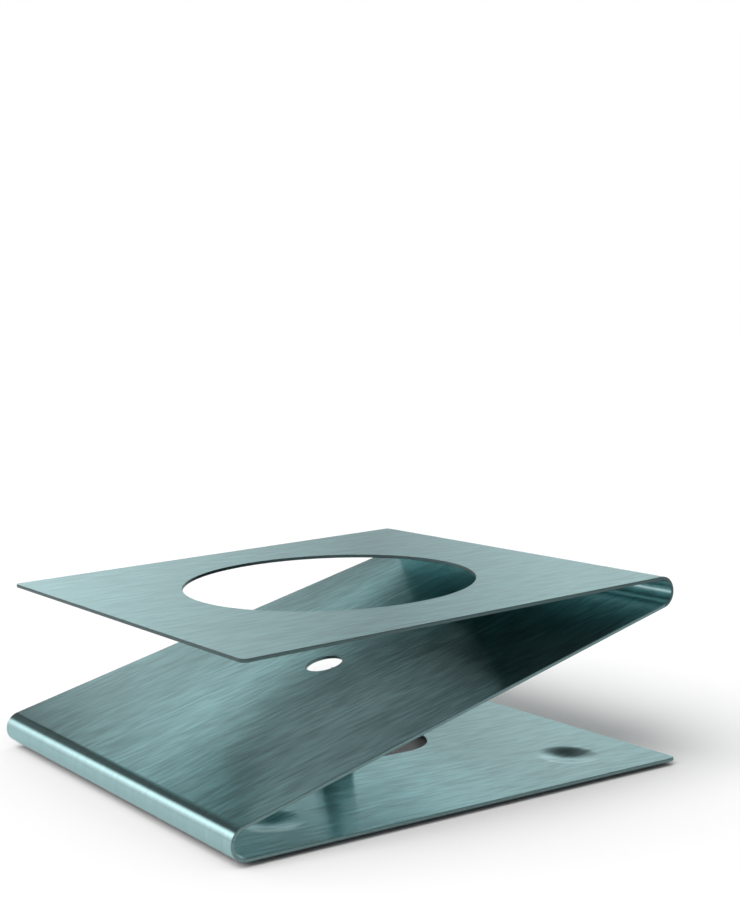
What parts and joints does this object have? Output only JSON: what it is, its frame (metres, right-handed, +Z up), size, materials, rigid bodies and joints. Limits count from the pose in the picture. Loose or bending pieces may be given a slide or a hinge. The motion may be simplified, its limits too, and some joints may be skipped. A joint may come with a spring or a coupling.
{
  "type": "egg piercer",
  "caption": "Folded spring-steel egg piercer: a Z-shaped strip whose top plate seats the egg and sinks so that a spike on the base comes up through the middle plate.",
  "frame": {"origin": "on the floor, under the middle of the outline of the base", "axes": "+X along the strip from the lower bend to the upper bend, +Y across the strip, +Z up"},
  "size_m": [0.0478, 0.042, 0.0178],
  "materials": {
    "spring_steel": "fine brushing along the strip, satin"
  },
  "bodies": {
    "base": {"base_plate": "spring_steel", "piercing_spike": "spring_steel", "lower_bend": "spring_steel"},
    "middle": {"middle_plate": "spring_steel", "upper_bend": "spring_steel"},
    "top": {"top_plate": "spring_steel"}
  },
  "joints": [
    {"name": "lower_fold", "type": "hinge", "parent": "base", "child": "middle", "pos_m": [-0.02243, 0, 0.0019], "axis": [0, 1, 0], "range_deg": [0, 9], "stiffness_Nm_per_rad": 1, "deforming": ["lower_bend"]},
    {"name": "upper_fold", "type": "hinge", "parent": "middle", "child": "top", "pos_m": [0.02175, 0, 0.01635], "axis": [0, -1, 0], "range_deg": [0, 9], "stiffness_Nm_per_rad": 1, "deforming": ["upper_bend"]}
  ],
  "couplings": [
    {"joint": "upper_fold", "follows": "lower_fold", "ratio": 1}
  ]
}
